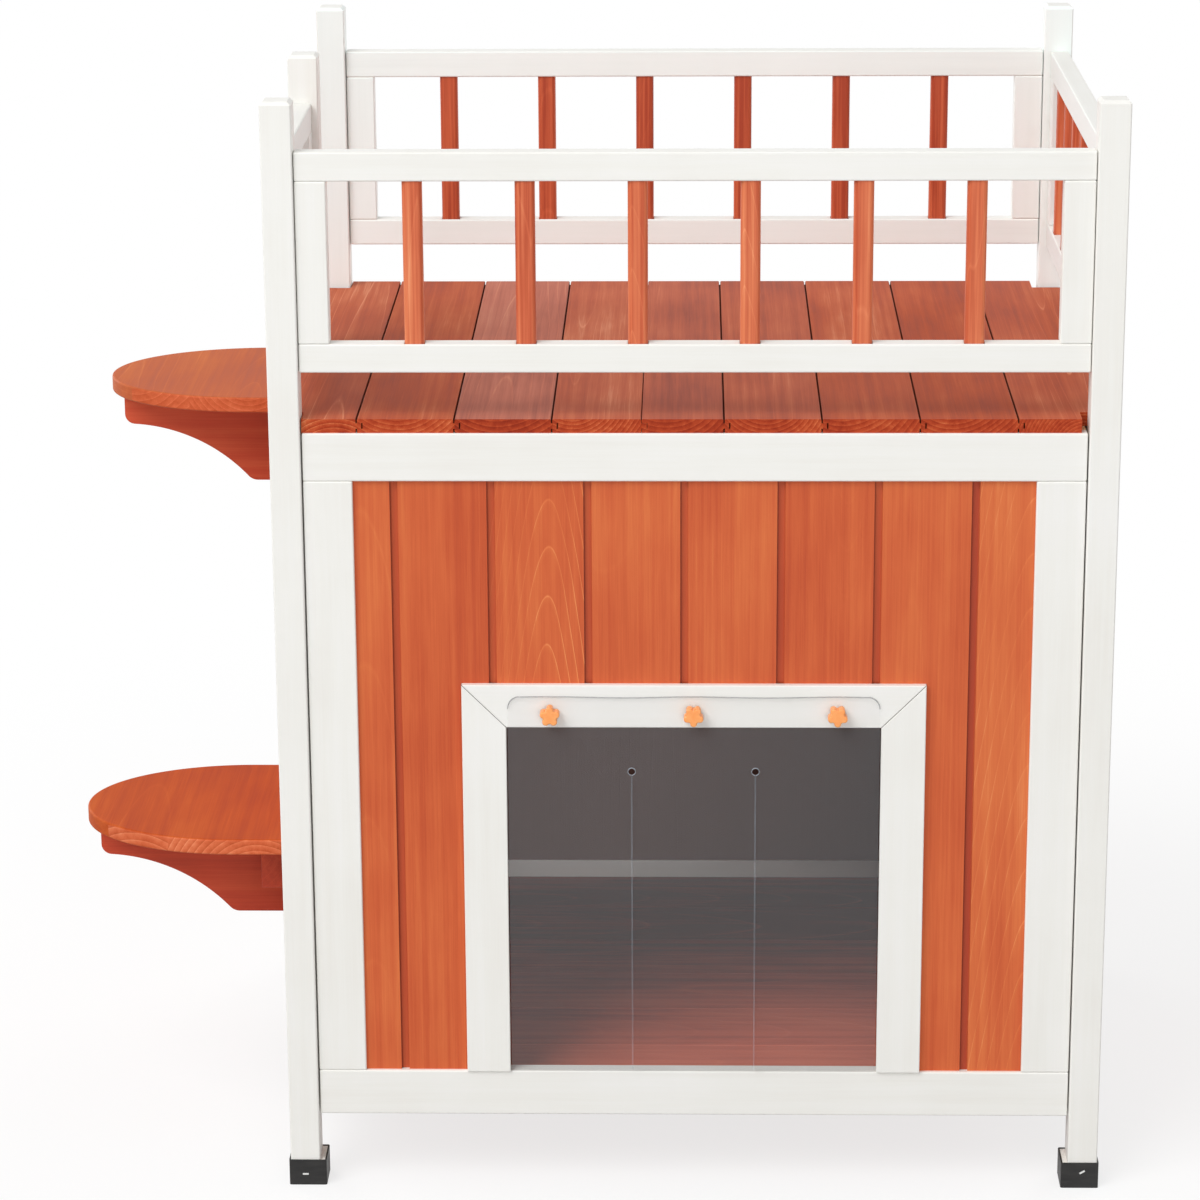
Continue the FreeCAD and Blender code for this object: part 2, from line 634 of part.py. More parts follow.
# Railings: two rails, two stiles and balusters let into sockets in the rails
def railing(name, start, span, count, pitch):
    lower_top = f"({DECK_TOP} + dim.railing_low + dim.railing_rail)"
    between = "(dim.railing_high - dim.railing_low - dim.railing_rail)"
    start_here = f"({start} + dim.railing_gap)"
    clear = f"({span} - 2 * dim.railing_gap)"
    socket = "(dim.baluster_width + 2 * dim.socket_play)"
    socket_thick = "(dim.baluster_thick + 2 * dim.socket_play)"
    middles = [f"({clear} / 2 + {number - (count - 1) / 2} * {pitch})" for number in range(count)]

    rails = []
    sockets = {"low": ("lower_rail", "dim.railing_rail - dim.socket_depth"), "high": ("upper_rail", "0")}
    for level_name, (label, socket_low) in sockets.items():
        corner, size = on_wall(name, start_here, clear, "dim.railing_recess", "dim.railing_thick")
        rail_size = (*size, "dim.railing_rail")
        rail_low = f"{DECK_TOP} + dim.railing_{level_name}"
        rail = timber(f"{name}_railing_{label}", rail_size, (*corner, rail_low))
        for number, middle in enumerate(middles):
            along = f"{middle} - {socket} / 2"
            across = f"(dim.railing_thick - {socket_thick}) / 2"
            sideways = name in ("left", "right")
            cut = (socket_thick, socket) if sideways else (socket, socket_thick)
            at = (across, along) if sideways else (along, across)
            block(rail, f"socket_{number}", "Subtractive", (*cut, "dim.socket_depth"), (*at, socket_low))
        rails.append(rail)

    stiles = []
    for label, along in (("first", start_here), ("second", f"({start_here} + {clear} - dim.railing_stile)")):
        corner, size = on_wall(name, along, "dim.railing_stile", "dim.railing_recess", "dim.railing_thick")
        stiles.append(timber(f"{name}_railing_{label}_stile", (*size, between), (*corner, lower_top)))

    balusters = []
    for number, middle in enumerate(middles):
        along = f"({start_here} + {middle} - dim.baluster_width / 2)"
        inward = "(dim.railing_recess + (dim.railing_thick - dim.baluster_thick) / 2)"
        corner, size = on_wall(name, along, "dim.baluster_width", inward, "dim.baluster_thick")
        length = f"{between} + 2 * dim.socket_depth"
        baluster = new_body(f"{name}_baluster_{number}")
        block(baluster, "bar", "Additive", (*size, length))
        soften(baluster, "Fillet", "dim.baluster_round", lambda edge: runs_along(edge, "z"))
        place(baluster, *corner, f"{lower_top} - dim.socket_depth")
        balusters.append(baluster)

    if name == "front":
        keep(rails[0])
        keep(rails[1])
        group("front_railing_stiles", stiles)
    else:
        group(f"{name}_railing_frame", rails + stiles)
    group(f"{name}_balusters", balusters)


ROW_OF_BALUSTERS = 6
LEFT_BALUSTERS = 2
left_span = f"(dim.middle_post_at - {POST})"
railing("front", *ACROSS, ROW_OF_BALUSTERS, "dim.baluster_pitch")
railing("back", *ACROSS, ROW_OF_BALUSTERS, "dim.baluster_pitch")
railing("right", *ALONG, ROW_OF_BALUSTERS, "dim.side_baluster_pitch")
railing("left", POST, left_span, LEFT_BALUSTERS, "dim.left_baluster_pitch")

# Jump steps: a shelf with an oval end, a coved bracket under its middle and a cleat along the wall
WALL_FACE = f"-{HALF} + {BOARD_FACE}"


def part_box(label, size, corner):
    box = doc.addObject("Part::Box", label)
    for side, formula in zip(("Length", "Width", "Height"), size):
        box.setExpression(side, formula)
    place(box, *corner)
    return box


def shelf(name, middle, top):
    """The oval end is half of an oval plate, joined to a straight piece that runs to the wall."""
    low = f"{top} - dim.step_thick"
    half = "(dim.step_width / 2)"
    turn_at = f"-{HALF} - dim.step_straight"
    oval = doc.addObject("Part::Ellipse", f"{name}_oval")
    oval.setExpression("MajorRadius", f"max(dim.step_nose; {half})")
    oval.setExpression("MinorRadius", f"min(dim.step_nose; {half})")
    oval.setExpression("Placement.Rotation.Angle", f"dim.step_nose < {half} ? 90 : 0")
    place(oval, turn_at, middle, low)
    oval_plate = doc.addObject("Part::Extrusion", f"{name}_oval_plate")
    oval_plate.Base = oval
    oval_plate.DirMode = "Custom"
    oval_plate.Dir = FreeCAD.Vector(0, 0, 1)
    oval_plate.setExpression("LengthFwd", "dim.step_thick")
    oval_plate.Solid = True

    front_edge = f"{middle} - {half}"
    end_size = ("dim.step_nose", "dim.step_width", "dim.step_thick")
    end_half = part_box(f"{name}_end_half", end_size, (f"{turn_at} - dim.step_nose", front_edge, low))
    nose = doc.addObject("Part::Common", f"{name}_nose")
    nose.Base = oval_plate
    nose.Tool = end_half
    straight_size = ("dim.step_straight + dim.panel_recess", "dim.step_width", "dim.step_thick")
    straight = part_box(f"{name}_straight", straight_size, (turn_at, front_edge, low))
    joined = doc.addObject("Part::Fuse", f"{name}_joined")
    joined.Base = nose
    joined.Tool = straight
    joined.Refine = True
    doc.recompute()
    radius = dim.step_round
    rim = [number for number, edge in enumerate(joined.Shape.Edges, start=1) if edge.BoundBox.ZLength < 1e-6]
    eased = doc.addObject("Part::Fillet", f"{name}_shelf")
    eased.Label = f"{name}_shelf"
    eased.Base = joined
    eased.Edges = [(number, radius, radius) for number in rim]
    keep(eased)


def bracket(name, middle, top):
    """A block coved on its underside, with a rounded nose and heel and a notch that clears the cleat."""
    reach = f"(dim.step_straight + dim.step_nose - dim.bracket_setback + {BOARD_FACE})"
    body = new_body(f"{name}_bracket")
    whole = (reach, "dim.bracket_thick", "dim.bracket_drop")
    block(body, "block", "Additive", whole, (f"-{reach}", "0", "-dim.bracket_drop"))
    centre = (f"-{reach}", "0", "-dim.bracket_nose - dim.bracket_cove")
    drum(body, "cove", "Subtractive", "dim.bracket_cove", "dim.bracket_thick", centre, ALONG_Y)

    def is_nose(edge):
        return runs_along(edge, "y") and level(edge, -dim.bracket_nose)

    def is_heel(edge):
        return runs_along(edge, "y") and level(edge, -dim.bracket_drop) and edge.BoundBox.XMax < -1e-3

    soften(body, "Fillet", "dim.nose_round", is_nose)
    soften(body, "Fillet", "dim.heel_round", is_heel)
    notch_out = "(dim.cleat_thick + dim.cleat_notch)"
    notch_deep = "(dim.cleat_height + dim.cleat_notch)"
    notch_size = (notch_out, "dim.bracket_thick", notch_deep)
    block(body, "notch", "Subtractive", notch_size, (f"-{notch_out}", "0", f"-{notch_deep}"))
    place(body, WALL_FACE, f"{middle} - dim.bracket_thick / 2", f"{top} - dim.step_thick")
    keep(body)


def cleat(name, middle, top):
    size = ("dim.cleat_thick", "dim.cleat_length", "dim.cleat_height")
    low = f"{top} - dim.step_thick - dim.cleat_height"
    corner = (f"{WALL_FACE} - dim.cleat_thick", f"{middle} - dim.cleat_length / 2", low)
    keep(timber(f"{name}_cleat", size, corner))


step_middles = {"lower_step": "dim.lower_step_at", "upper_step": f"({DEPTH} - dim.upper_step_at)"}
for name, middle in step_middles.items():
    top = f"dim.{name}_top"
    shelf(name, middle, top)
    bracket(name, middle, top)
    cleat(name, middle, top)

# Every object has to be sound before anything is written
doc.recompute()
for thing in doc.Objects:
    if "Invalid" in thing.State or "Error" in thing.State:
        raise RuntimeError(f"{thing.Label} did not build: {thing.State}")
for piece in nodes:
    if piece.Shape.isNull() or not piece.Shape.isValid():
        raise RuntimeError(f"{piece.Label} has no sound shape")

os.makedirs("parts", exist_ok=True)
for piece in nodes:
    piece.Shape.exportStep(f"parts/{piece.Label}.step")
print(len(nodes), "sub-parts,", sum(len(piece.Shape.Solids) for piece in nodes), "solids")
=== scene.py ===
import math

import bmesh
import bpy
from mathutils import Euler, Matrix, Vector


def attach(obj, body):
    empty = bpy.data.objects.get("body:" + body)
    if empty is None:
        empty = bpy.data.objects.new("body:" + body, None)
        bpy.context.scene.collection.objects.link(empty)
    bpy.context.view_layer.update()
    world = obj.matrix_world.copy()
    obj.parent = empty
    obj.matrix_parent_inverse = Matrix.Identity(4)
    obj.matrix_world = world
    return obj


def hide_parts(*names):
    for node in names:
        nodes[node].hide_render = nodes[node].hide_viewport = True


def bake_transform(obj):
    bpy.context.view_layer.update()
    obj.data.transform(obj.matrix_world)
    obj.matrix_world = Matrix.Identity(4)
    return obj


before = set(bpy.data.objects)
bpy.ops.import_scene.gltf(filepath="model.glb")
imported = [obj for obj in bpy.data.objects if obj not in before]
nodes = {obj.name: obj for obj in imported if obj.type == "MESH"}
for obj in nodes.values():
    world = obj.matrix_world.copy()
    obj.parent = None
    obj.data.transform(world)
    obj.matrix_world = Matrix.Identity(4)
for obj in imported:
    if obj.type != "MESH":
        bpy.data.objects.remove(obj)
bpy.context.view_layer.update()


# Posts: planed square softwood, four at the corners and a short one beside the way onto the balcony.
# They are painted white, and the grain of the wood just tells through the paint.
class Wire:
    """A socket of a material. Arithmetic on it adds the nodes that work it out."""

    def __init__(self, tree, socket):
        self.tree = tree
        self.socket = socket

    def node(self, kind, settings, sockets, output=0):
        """Adds a node of this kind, sets it up, feeds its sockets and returns one of its outputs."""
        made = self.tree.nodes.new("ShaderNode" + kind)
        for key, value in settings.items():
            if key == "stops":
                marks = made.color_ramp.elements
                while len(marks) < len(value):
                    marks.new(1.0)
                for stop, (place, colour) in zip(marks, value):
                    stop.position = place
                    stop.color = colour
            else:
                setattr(made, key, value)
        for key, value in sockets.items():
            socket = made.inputs[key]
            if isinstance(value, Wire):
                self.tree.links.new(value.socket, socket)
            elif isinstance(value, (int, float)) and hasattr(socket.default_value, "__len__"):
                socket.default_value = [value] * len(socket.default_value)
            else:
                socket.default_value = value
        return Wire(self.tree, made.outputs[output]) if made.outputs else None

    def beside(self, output):
        """Another output of the node that this wire comes from."""
        return Wire(self.tree, self.socket.node.outputs[output])

    def maths(self, operation, first, second):
        return self.node("Math", {"operation": operation}, {0: first, 1: second})

    def __add__(self, other):
        return self.maths("ADD", self, other)

    __radd__ = __add__

    def __sub__(self, other):
        return self.maths("SUBTRACT", self, other)

    def __rsub__(self, other):
        return self.maths("SUBTRACT", other, self)

    def __mul__(self, other):
        return self.maths("MULTIPLY", self, other)

    __rmul__ = __mul__

    def __truediv__(self, other):
        return self.maths("DIVIDE", self, other)

    def __pow__(self, other):
        return self.maths("POWER", self, other)

    def __mod__(self, other):
        return self.maths("FLOORED_MODULO", self, other)

    def __gt__(self, other):
        return self.maths("GREATER_THAN", self, other)

    def __lt__(self, other):
        return self.maths("LESS_THAN", self, other)

    def __abs__(self):
        return self.maths("ABSOLUTE", self, 0)


def new_finish(name):
    """A material with no nodes yet, and the Object coordinates that its pattern starts from."""
    material = bpy.data.materials.new(name)
    material.use_nodes = True
    material.node_tree.nodes.clear()
    place = Wire(material.node_tree, None).node("TexCoord", {}, {}, "Object")
    return material, place


def close_finish(place, sockets):
    """Feeds the surface shader and the material's output."""
    surface = place.node("BsdfPrincipled", {}, sockets)
    place.node("OutputMaterial", {}, {"Surface": surface})


def shown(red, green, blue):
    """The scene colour of a surface that reads as these screen values, 0 to 255, in plain light."""
    return [(part / 255 / 12.92) if part < 11 else ((part / 255 + 0.055) / 1.055) ** 2.4
            for part in (red, green, blue)] + [1.0]


def grey(share):
    """A grey that reflects this share of the light."""
    return [share, share, share, 1.0]


def along_grain(grain, along, across):
    """Stretches of a pattern that is long with the grain: along it and across it, per metre."""
    return [along if axis == grain else across for axis in "xyz"]


def mottle(place, stretch, detail, shift=0.0):
    """Noise about 0, mostly within a third of it."""
    moved = place.node("VectorMath", {"operation": "MULTIPLY_ADD"}, {0: place, 1: stretch, 2: shift})
    return place.node("TexNoise", {}, {"Vector": moved, "Scale": 1.0, "Detail": detail}) - 0.5


def mixed(share, first, second):
    """Two colours, from all of the first at 0 to all of the second at 1."""
    return share.node("Mix", {"data_type": "RGBA"}, {0: share, 6: first, 7: second}, 2)


def ramp(amount, stops):
    """The colour at an amount along these stops, from 0 to 1."""
    return amount.node("ValToRGB", {"stops": stops}, {0: amount})


def facing(place, axis):
    """How squarely a face looks along X, Y or Z, from -1 to 1."""
    return place.node("SeparateXYZ", {}, {0: place.beside("Normal")}, "xyz".index(axis))


SQUARE_ON = 0.7  # a face that looks along an axis by more than this counts as square to it
# along and across the grain, per metre
BRUSH_MARKS, PAINTED_FIBRE, PAINT_CLOUD = (4, 120), (20, 800), (11, 11)
warm_white = [(0.25, shown(236, 234, 228)), (0.5, shown(240, 239, 234)), (0.75, shown(243, 242, 239))]
# a cooler white painted on faces towards the deck, to offset the pink light they get from it
bounce_offset_white = [(0.25, shown(240, 246, 243)), (0.5, shown(244, 250, 247)), (0.75, shown(247, 252, 250))]
seam_brown = shown(112, 104, 96)


def paint_tone(place, grain):
    """How the grain and the brush show in white paint, about 0."""
    brush = mottle(place, along_grain(grain, *BRUSH_MARKS), 3)
    fibre = mottle(place, along_grain(grain, *PAINTED_FIBRE), 2)
    cloud = mottle(place, along_grain(grain, *PAINT_CLOUD), 2)
    return brush * 0.5 + fibre * 0.25 + cloud * 0.6


def white_paint(place, tone, bounce_side=None, seam=None):
    """Satin white over softwood, from the tone of its grain, with a dark hairline where it has a seam.
    A face on the bounce side is painted a cooler white: painted light that offsets the pink light the red
    boards bounce onto it."""
    colour = ramp(tone + 0.5, warm_white)
    if bounce_side is not None:
        colour = mixed(bounce_side, colour, ramp(tone + 0.5, bounce_offset_white))
    if seam is not None:
        colour = mixed(seam, colour, seam_brown)
    bump = place.node("Bump", {}, {"Strength": 0.2, "Distance": 0.0003, "Height": tone})
    close_finish(place, {"Base Color": colour, "Roughness": tone * 0.25 + 0.46, "Normal": bump})


def give(material, *names):
    """Puts one material on these nodes."""
    for name in names:
        nodes[name].data.materials.clear()
        nodes[name].data.materials.append(material)


paint_for = {}
for grain in "xyz":
    paint_for[grain], place = new_finish(f"white_paint_{grain}")
    white_paint(place, paint_tone(place, grain))
give(paint_for["z"], "post_front_left", "post_front_right", "post_middle_left")
for side, inward in (("left", 1), ("right", -1)):
    back_post_paint, place = new_finish(f"back_{side}_post_paint")
    # faces towards the deck get the cooler white: painted light against the deck's pink bounce
    bounce_side = (facing(place, "x") * inward - facing(place, "y")) > SQUARE_ON
    white_paint(place, paint_tone(place, "z"), bounce_side)
    give(back_post_paint, f"post_back_{side}")

# Foot caps: black plastic boxes pushed on under the posts and stapled to them.
# They are moulded, with a fine matt texture that catches a little light on the rims.
cap_black = [(0.3, shown(30, 29, 29)), (0.7, shown(44, 43, 42))]
MOULD_TEXTURE, SCUFFS = [900, 900, 900], [60, 60, 220]  # per metre
cap_plastic, place = new_finish("cap_plastic")
texture = mottle(place, MOULD_TEXTURE, 3)
scuff = mottle(place, SCUFFS, 3)
bump = place.node("Bump", {}, {"Strength": 0.3, "Distance": 0.0002, "Height": texture})
sockets = {"Base Color": ramp(scuff + 0.5, cap_black), "Roughness": scuff * 0.3 + 0.5, "Normal": bump}
close_finish(place, {**sockets, "Specular IOR Level": 0.35})
give(cap_plastic, "foot_front_left", "foot_front_right", "foot_back_left", "foot_back_right")

# Shims and staples: a bent strip of pale packing takes up the play between cap and post.
# One wire staple through the front of each front cap holds it on.
# The bolts of the thumb knobs are of the same plated steel.
packing_white = [(0.3, shown(236, 233, 226)), (0.7, shown(248, 246, 241))]
PACKING_SPECKS, DRAWN_WIRE = [500, 500, 500], [2500, 300, 2500]  # per metre
packing, place = new_finish("packing")
speck = mottle(place, PACKING_SPECKS, 3)
close_finish(place, {"Base Color": ramp(speck + 0.5, packing_white), "Roughness": speck * 0.3 + 0.7})
give(packing, "foot_shims")
plated_steel, place = new_finish("plated_steel")
drawn = mottle(place, DRAWN_WIRE, 2)
close_finish(place, {"Base Color": shown(226, 226, 224), "Metallic": 1.0, "Roughness": drawn * 0.3 + 0.3})
give(plated_steel, "foot_staples", "knob_bolts")

# Wall frames: rails and stiles of planed softwood, painted white like the posts.
# The stiles stand between the rails, and a thin dark line shows at each joint.
for wall, grain in (("front", "x"), ("back", "x"), ("left", "y"), ("right", "y")):
    give(paint_for[grain], f"{wall}_top_rail", f"{wall}_bottom_rail")
    give(paint_for["z"], f"{wall}_stiles")


# Wall boards: upright softwood boards with a sunk groove along one edge, stained orange red.
# The stain takes unevenly, and the hard ring lines stay pale; the grooves and the inner faces are painted
# darker, as painted shade.
def ways(place):
    """The Object coordinates as three wires."""
    first = place.node("SeparateXYZ", {}, {0: place})
    return {"x": first, "y": first.beside(1), "z": first.beside(2)}


def stepped(along, edges, levels):
    """A number that goes from one level to the next where the way along passes each edge."""
    total = along * 0.0 + levels[0]
    for edge, before, after in zip(edges, levels, levels[1:]):
        total = total + (along > edge) * (after - before)
    return total


def eased(amount, start, end, low=0.0, high=1.0):
    """Goes smoothly from low to high as the amount goes from start to end."""
    sockets = {0: amount, 1: start, 2: end, 3: low, 4: high}
    return amount.node("MapRange", {"interpolation_type": "SMOOTHSTEP"}, sockets)


BOARD_SHIFT = 3.71  # moves the pattern from one board to the next
PITH_ASIDE, PITH_WANDER = 0.04, 0.01
PITH_NEAREST, PITH_SPREAD = 0.012, 0.05
RING_FINEST, RING_SPREAD = 0.0045, 0.004
RING_LINE = [(0.0, grey(0.0)), (0.8, grey(0.06)), (0.92, grey(0.3)), (0.96, grey(1.0)), (1.0, grey(0.0))]
WANDER, FADE, BLOTCH = (4, 14), (4, 16), (8, 24)  # along and across the grain, per metre
STREAK, FIBRE = (2.5, 210), (22, 1100)


def softwood(place, grain, width, board, centre, middle, seed,
             tight=1.0, tilt=0.2, taper=0.0, about=0.0, figure=None):
    """How light the stained wood is, about 0, its ring lines, 0 to 1, the way through each ring, 0 to 1,
    and where it is cut across, 0 or 1. Each board has a pith of its own, beside its centre line and before
    or behind its middle, that leans along it by up to half the tilt, and the rings run round that.
    They widen along the board by up to half the taper, which makes pointed arches of them.
    The figure is how strongly the rings of each board show."""
    way = ways(place)
    depth = ({"x", "y", "z"} - {grain, width}).pop()
    chance = place.node("TexWhiteNoise", {"noise_dimensions": "1D"}, {"W": board + seed}, "Color")
    first = place.node("SeparateColor", {}, {0: chance})
    second, third = first.beside(1), first.beside(2)
    shift = board * BOARD_SHIFT + seed
    wander = mottle(place, along_grain(grain, *WANDER), 2, shift)
    beside = way[width] - centre + (first - 0.5) * PITH_ASIDE + wander * PITH_WANDER
    heart = (first > 0.5) * 2.0 - 1.0
    along = way[grain] - about
    lean = along * ((third - 0.5) * tilt)
    behind = lean + way[depth] - middle - (second * PITH_SPREAD + PITH_NEAREST) * heart
    ring = (beside * beside + behind * behind) ** 0.5 + along * ((third - 0.5) * taper)
    share = (ring * tight / (second * RING_SPREAD + RING_FINEST) + wander * 0.5) % 1.0
    strength = first * 0.7 + 0.5 if figure is None else figure
    fade = (mottle(place, along_grain(grain, *FADE), 2, shift) * 2.5 + 0.7) * strength
    lines = ramp(share, RING_LINE) * place.maths("MAXIMUM", fade, 0.0)
    streak = mottle(place, along_grain(grain, *STREAK), 4, shift)
    fibre = mottle(place, along_grain(grain, *FIBRE), 2, shift)
    blotch = mottle(place, along_grain(grain, *BLOTCH), 3, shift)
    tone = blotch * 0.6 + streak * 0.55 + fibre * 0.25 + (third - 0.5) * 0.12
    return tone, lines, share, abs(facing(place, grain)) > SQUARE_ON


def stain(tone, lines, stops, share=0.16):
    """The colour of stained wood from its tone and ring lines."""
    return ramp(tone + 0.5 + lines * share, stops)


def stained_wood(place, colour, tone, lines, gloss=0.3, dry=0.0):
    """A satin stain, with the fibres a little raised, rougher where it is dry."""
    bump = place.node("Bump", {}, {"Strength": 0.35, "Distance": 0.0004, "Height": tone + lines * 0.3})
    sockets = {"Base Color": colour, "Roughness": tone * 0.3 + 0.55 + dry, "Normal": bump}
    close_finish(place, {**sockets, "Specular IOR Level": gloss})


wall_stain = [(0.1, shown(176, 68, 36)), (0.35, shown(196, 84, 44)), (0.52, shown(208, 98, 53)),
              (0.72, shown(219, 115, 63)), (0.95, shown(238, 152, 96))]
# the grooves' colour is painted shade, and their edge line is a dark joint with a painted shadow line
groove_painted_shade, joint_and_shadow_line = shown(172, 64, 40), shown(112, 30, 14)
inside_painted_shade = shown(108, 75, 65)
BOARD_COVER, GROOVE = 0.0688, 0.0058
GROOVE_EDGE, GROOVE_SHADE = (0.0014, 0.0004), 0.45
DARK_GROOVE_AFTER = 6.5  # the groove past this many boards is darker
INNER_FACE = 0.0042  # from the middle of a board's thickness to just short of its inner face
ARCHES_ABOUT = 0.47  # height at which a board's rings neither lean nor widen
BOARD_COATS = [0.05, -0.08, -0.07, 0.09, 0.02, -0.05, 0.0, 0.05]
# way across the boards, start of the first, middle of their thickness, seed, way in, strength of their rings
wall_rows = {
    "front": ("x", -0.2064, -0.2154, 1176.0, 1, [0.3, 0.35, 1.9, 0.15, 0.4, 0.15, 0.2, 1.1]),
    "back": ("x", -0.2064, 0.2236, 17.0, -1, [0.3, 0.5, 0.2, 0.9, 0.2, 0.4, 0.3, 0.7]),
    "left": ("y", -0.1679, -0.2111, 29.0, 1, [0.2, 0.8, 0.3, 0.4, 0.7]),
    "right": ("y", -0.1679, 0.3679, 41.0, -1, [0.7, 0.2, 0.6, 0.3, 0.2]),
}
for wall, (width, start, middle, seed, inward, figures) in wall_rows.items():
    boards, place = new_finish(f"{wall}_board_stain")
    way = ways(place)
    run = (way[width] - start) / BOARD_COVER
    part = run % 1.0
    board = run - part
    board_edges = [count + 0.5 for count in range(len(figures) - 1)]
    figure = stepped(board, board_edges, figures)
    centre = (board + 0.5) * BOARD_COVER + start
    tone, lines = softwood(place, "z", width, board, centre, middle, seed,
                           tight=0.9, tilt=0.06, taper=0.3, about=ARCHES_ABOUT, figure=figure)[:2]
    colour = stain(tone + stepped(board, board_edges, BOARD_COATS), lines, wall_stain, share=0.3)
    sunk = eased(part * BOARD_COVER, GROOVE * 1.1, GROOVE * 0.8)
    colour = mixed(sunk * ((board > DARK_GROOVE_AFTER) * GROOVE_SHADE + GROOVE_SHADE), colour, groove_painted_shade)
    colour = mixed(eased(part * BOARD_COVER, *GROOVE_EDGE) * 0.5, colour, joint_and_shadow_line)
    # inner faces inside the house are painted dark: painted shade for the dim room
    inner = (way["y" if width == "x" else "x"] - middle) * inward > INNER_FACE
    colour = mixed(inner, colour, inside_painted_shade)
    stained_wood(place, colour, tone, lines)
    give(boards, f"{wall}_boards")

# Door trim: a head and two legs of planed softwood, mitred at the corners and planted on the boards.
# They are painted white, and the mitres show as hairlines.
DOOR_MIDDLE, DOOR_HALF, DOOR_TOP = 0.0784, 0.135, 0.36
MITRE_HALF, MITRE_SHADE = 0.0004, 0.7
for grain, pieces in (("x", ["door_trim_head"]), ("z", ["door_trim_left", "door_trim_right"])):
    trim_paint, place = new_finish(f"trim_paint_{grain}")
    way = ways(place)
    off_mitre = abs(abs(way["x"] - DOOR_MIDDLE) - DOOR_HALF - way["z"] + DOOR_TOP)
    corner = (off_mitre < MITRE_HALF) * (way["z"] > DOOR_TOP)
    white_paint(place, paint_tone(place, grain), seam=corner * MITRE_SHADE)
    give(trim_paint, *pieces)

# Flap: one sheet of clear PVC hung in front of the head, cut up from below into three strips.
# Each cut ends in a punched hole so that it doesn't tear, and the cut edges show pale.
SHEET_FRONT, SHEET_BACK = -0.22695, -0.22535
SHEET_MIDDLE, SHEET_HALF = 0.0784, 0.134
SHEET_LOW, SHEET_HIGH, BEND = 0.094, 0.384, 0.327
CUT_AT, CUT_HALF, CUT_RIM = 0.268 / 6, 0.0002, 0.00015
RELIEF, BOLT_HOLE, HOLE_RIM = 0.0026, 0.0023, 0.0003
KNOB_PITCH, KNOB_HEIGHT = 0.1033, 0.371
EDGE_RIM, EDGE_WAVE, EDGE_PARTS = 0.0005, 0.0004, 48
CORNER, CORNER_STEPS, HOLE_SIDES = 0.009, 8, 32
BEND_LENGTH, BEND_STEPS = 0.03, 10
NEAR = 1e-6
CLEAR, CUT, JOINT_FACE, EDGE = range(4)  # the sheet's materials, in this order
SMEARS, NICKS, EDGE_NICKS = [30, 30, 9], [900, 900, 900], [60, 900, 900]  # per metre
# the faint white of the clear sheet is a little haze and painted reflection of the white surroundings
sheet_haze_and_reflection = shown(226, 224, 226)

clear_pvc, place = new_finish("clear_pvc")
smear = mottle(place, SMEARS, 2)
close_finish(place, {"Base Color": sheet_haze_and_reflection, "Alpha": 0.056, "Roughness": smear * 0.2 + 0.16})
cut_pvc, place = new_finish("cut_pvc")
nick = mottle(place, NICKS, 2)
close_finish(place, {"Base Color": shown(214, 222, 232), "Alpha": 0.4, "Roughness": nick * 0.3 + 0.3})
joint_pvc, place = new_finish("joint_pvc")
close_finish(place, {"Base Color": sheet_haze_and_reflection, "Alpha": 0.0, "Roughness": 0.2})
edge_pvc, place = new_finish("edge_pvc")
nick = mottle(place, EDGE_NICKS, 2)
close_finish(place, {"Base Color": shown(138, 140, 144), "Alpha": 0.4, "Roughness": nick * 0.3 + 0.3})


def rim(sheet, edges, centre, share, mark):
    """Draws a loop of edges in or out about a centre, and marks the band that this makes."""
    drawn = bmesh.ops.extrude_edge_only(sheet, edges=edges)["geom"]
    moved = [part for part in drawn if isinstance(part, bmesh.types.BMVert)]
    bmesh.ops.scale(sheet, vec=share, verts=moved, space=Matrix.Translation(-centre))
    for part in drawn:
        if isinstance(part, bmesh.types.BMFace):
            part.material_index = mark


